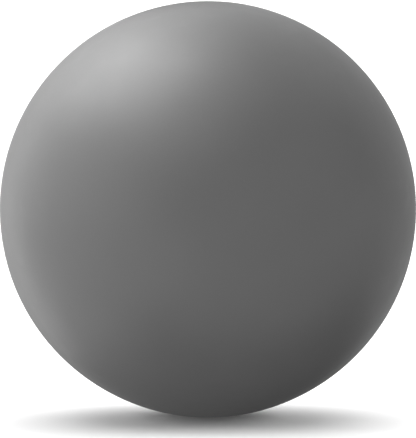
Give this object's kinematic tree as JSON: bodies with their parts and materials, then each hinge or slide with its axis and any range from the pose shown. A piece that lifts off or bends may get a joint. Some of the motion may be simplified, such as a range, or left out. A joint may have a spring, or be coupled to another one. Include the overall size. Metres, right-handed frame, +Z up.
{
  "type": "exercise ball",
  "caption": "Smooth, round, air-filled exercise ball in soft grey vinyl, standing on its own small flat, with a push-in plug in a recessed valve.",
  "frame": {"origin": "on the floor, in the middle of the flat that the ball stands on, straight under the ball's centre", "axes": "+Z up, +Y from the ball's centre out through the valve, -Y towards the viewer of the smooth front"},
  "size_m": [0.65, 0.6498, 0.6481],
  "materials": {
    "skin_vinyl": "satin",
    "sleeve_vinyl": "satin",
    "plug_plastic": "satin"
  },
  "bodies": {
    "ball": {"ball_skin": "skin_vinyl", "valve_sleeve": "sleeve_vinyl"},
    "plug": {"valve_plug": "plug_plastic"}
  },
  "joints": [
    {"name": "plug_pull", "type": "slide", "parent": "ball", "child": "plug", "axis": [0, 1, 0], "range_m": [0, 0.03]}
  ]
}
